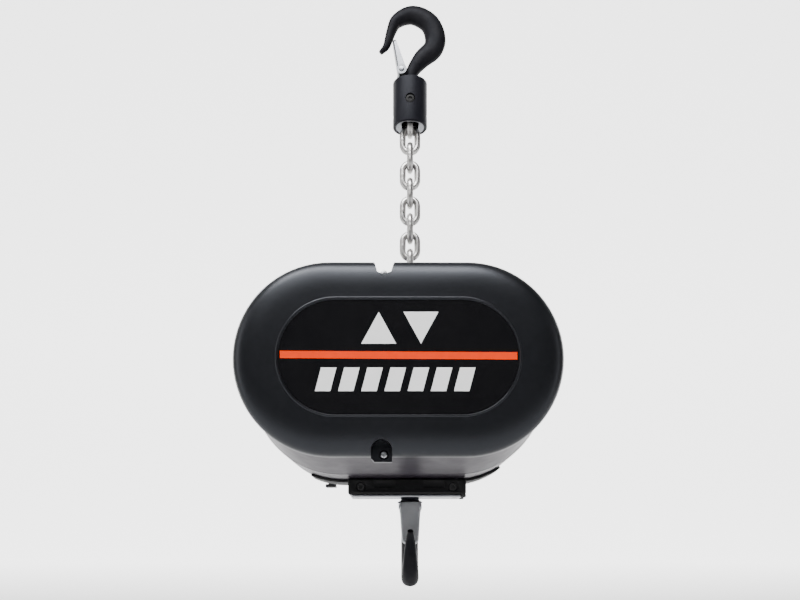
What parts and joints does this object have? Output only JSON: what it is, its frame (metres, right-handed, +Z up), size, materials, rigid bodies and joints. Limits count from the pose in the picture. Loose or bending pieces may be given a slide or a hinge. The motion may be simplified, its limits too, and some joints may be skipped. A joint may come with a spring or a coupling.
{
  "type": "electric chain hoist",
  "caption": "Electric chain hoist that climbs its own load chain: latched swivel hooks above and below, and a rounded black casing with gear train, brake motor and controls.",
  "frame": {"origin": "seat of the top hook's bowl, on the line of the chain, where whatever holds the hoist up bears", "axes": "+Z up along the chain, -Y towards the name plate, +X to the right seen from the name plate side"},
  "size_m": [0.3374, 0.329, 0.7158],
  "materials": {
    "black_forging": "black oxide",
    "zinc_plate": "bright zinc plate",
    "chain_steel": "zinc plate over hardened steel",
    "textured_black": "fine textured black powder coat",
    "gloss_black": "gloss black paint",
    "bare_aluminium": "machined",
    "black_plastic": "smooth",
    "machine_steel": "machined and oiled",
    "winding": "enamelled winding on laminations"
  },
  "bodies": {
    "upper_hook_body": {"upper_hook": "black_forging", "upper_latch_pin": "zinc_plate", "upper_latch_spring": "machine_steel", "hook_nut": "machine_steel"},
    "upper_latch_body": {"upper_latch": "zinc_plate"},
    "hook_block_body": {"hook_block": "black_forging", "thrust_bearing": "machine_steel", "block_set_screw": "machine_steel", "end_plate": "zinc_plate", "load_pin": "machine_steel"},
    "link_01_body": {"chain_link_01": "chain_steel"},
    "link_02_body": {"chain_link_02": "chain_steel"},
    "link_03_body": {"chain_link_03": "chain_steel"},
    "link_04_body": {"chain_link_04": "chain_steel"},
    "link_05_body": {"chain_link_05": "chain_steel"},
    "link_06_body": {"chain_link_06": "chain_steel"},
    "link_07_body": {"chain_link_07": "chain_steel"},
    "link_08_body": {"chain_link_08": "chain_steel"},
    "load_run": {"chain_link_09": "chain_steel", "chain_link_10": "chain_steel", "chain_link_11": "chain_steel", "chain_link_12": "chain_steel", "chain_link_13": "chain_steel", "chain_link_14": "chain_steel", "chain_link_15": "chain_steel", "chain_link_16": "chain_steel", "chain_link_17": "chain_steel"},
    "hoist_body": {"front_cover": "textured_black", "name_plate": "black_plastic", "cover_screw_top": "zinc_plate", "cover_screw_bottom": "zinc_plate", "gear_housing": "gloss_black", "motor_frame": "gloss_black", "rear_cover": "textured_black", "cable_gland": "black_plastic", "chain_guide": "machine_steel", "gear_plate": "bare_aluminium", "motor_stator": "winding", "brake_coil": "winding", "contactor": "black_plastic", "transformer": "machine_steel", "suspension_adapter": "textured_black", "adapter_plate": "zinc_plate", "hook_collar": "black_forging", "chain_link_18": "chain_steel", "chain_link_19": "chain_steel", "chain_link_20": "chain_steel", "chain_link_21": "chain_steel"},
    "liftwheel_body": {"liftwheel": "machine_steel", "lift_shaft": "machine_steel"},
    "intermediate_body": {"intermediate_shaft": "machine_steel"},
    "motor_body": {"motor_shaft": "machine_steel"},
    "slack_run": {"chain_link_22": "chain_steel"},
    "limit_nut_body": {"limit_nut": "machine_steel"},
    "brake_armature_body": {"brake_armature": "machine_steel"},
    "lower_hook_body": {"lower_hook": "black_forging", "lower_hook_nut": "machine_steel", "lower_latch_pin": "zinc_plate", "lower_latch_spring": "machine_steel"},
    "lower_latch_body": {"lower_latch": "zinc_plate"}
  },
  "joints": [
    {"name": "upper_latch_hinge", "type": "hinge", "parent": "upper_hook_body", "child": "upper_latch_body", "pos_m": [-0.0103, 0, -0.0618], "axis": [0, 1, 0], "range_deg": [0, 30], "stiffness_Nm_per_rad": 0.12, "springref_deg": -28.65, "deforming": ["upper_latch_spring"]},
    {"name": "hook_block_swivel", "type": "hinge", "parent": "upper_hook_body", "child": "hook_block_body", "pos_m": [0, 0, -0.1], "axis": [0, 0, 1], "continuous": true},
    {"name": "chain_hinge_01", "type": "hinge", "parent": "hook_block_body", "child": "link_01_body", "pos_m": [0, 0, -0.11595], "axis": [1, 0, 0], "range_deg": [-8, 8]},
    {"name": "chain_hinge_02", "type": "hinge", "parent": "link_01_body", "child": "link_02_body", "pos_m": [0, 0, -0.13775], "axis": [0, 1, 0], "range_deg": [-15, 15]},
    {"name": "chain_hinge_03", "type": "hinge", "parent": "link_02_body", "child": "link_03_body", "pos_m": [0, 0, -0.15955], "axis": [1, 0, 0], "range_deg": [-15, 15]},
    {"name": "chain_hinge_04", "type": "hinge", "parent": "link_03_body", "child": "link_04_body", "pos_m": [0, 0, -0.18135], "axis": [0, 1, 0], "range_deg": [-15, 15]},
    {"name": "chain_hinge_05", "type": "hinge", "parent": "link_04_body", "child": "link_05_body", "pos_m": [0, 0, -0.20315], "axis": [1, 0, 0], "range_deg": [-15, 15]},
    {"name": "chain_hinge_06", "type": "hinge", "parent": "link_05_body", "child": "link_06_body", "pos_m": [0, 0, -0.22495], "axis": [0, 1, 0], "range_deg": [-15, 15]},
    {"name": "chain_hinge_07", "type": "hinge", "parent": "link_06_body", "child": "link_07_body", "pos_m": [0, 0, -0.24675], "axis": [1, 0, 0], "range_deg": [-15, 15]},
    {"name": "chain_hinge_08", "type": "hinge", "parent": "link_07_body", "child": "link_08_body", "pos_m": [0, 0, -0.26855], "axis": [0, 1, 0], "range_deg": [-15, 15]},
    {"name": "chain_hinge_09", "type": "hinge", "parent": "link_08_body", "child": "load_run", "pos_m": [0, 0, -0.29035], "axis": [1, 0, 0], "range_deg": [-15, 15]},
    {"name": "climb", "type": "slide", "parent": "load_run", "child": "hoist_body", "axis": [0, 0, 1], "range_m": [-0.06, 0.06], "deforming": ["chain_link_18", "chain_link_19", "chain_link_20", "chain_link_21"]},
    {"name": "liftwheel_spin", "type": "hinge", "parent": "hoist_body", "child": "liftwheel_body", "pos_m": [-0.03226, 0, -0.4717], "axis": [0, 1, 0], "range_deg": [-120, 120]},
    {"name": "intermediate_spin", "type": "hinge", "parent": "hoist_body", "child": "intermediate_body", "pos_m": [0.00858, 0, -0.42774], "axis": [0, 1, 0], "range_deg": [-480, 480]},
    {"name": "motor_spin", "type": "hinge", "parent": "hoist_body", "child": "motor_body", "pos_m": [0.045, 0, -0.462], "axis": [0, 1, 0], "range_deg": [-1920, 1920]},
    {"name": "slack_feed", "type": "slide", "parent": "hoist_body", "child": "slack_run", "axis": [0, 0, 1], "range_m": [-0.0605, 0.0605]},
    {"name": "limit_nut_travel", "type": "slide", "parent": "hoist_body", "child": "limit_nut_body", "axis": [0, 1, 0], "range_m": [-0.001, 0.001]},
    {"name": "brake_release", "type": "slide", "parent": "hoist_body", "child": "brake_armature_body", "axis": [0, 1, 0], "range_m": [0, 0.0006], "stiffness_N_per_m": 20000, "springref_m": -0.001},
    {"name": "lower_hook_swivel", "type": "hinge", "parent": "hoist_body", "child": "lower_hook_body", "pos_m": [0, 0, -0.57], "axis": [0, 0, 1], "continuous": true},
    {"name": "lower_latch_hinge", "type": "hinge", "parent": "lower_hook_body", "child": "lower_latch_body", "pos_m": [0, -0.01236, -0.59714], "axis": [1, 0, 0], "range_deg": [0, 30], "stiffness_Nm_per_rad": 0.12, "springref_deg": -28.65, "deforming": ["lower_latch_spring"]}
  ],
  "couplings": [
    {"joint": "liftwheel_spin", "follows": "climb", "rad_per_m": 28.822},
    {"joint": "intermediate_spin", "follows": "climb", "rad_per_m": -115.29},
    {"joint": "motor_spin", "follows": "climb", "rad_per_m": 461.15},
    {"joint": "slack_feed", "follows": "climb", "ratio": 1},
    {"joint": "limit_nut_travel", "follows": "climb", "ratio": 0.009174}
  ]
}
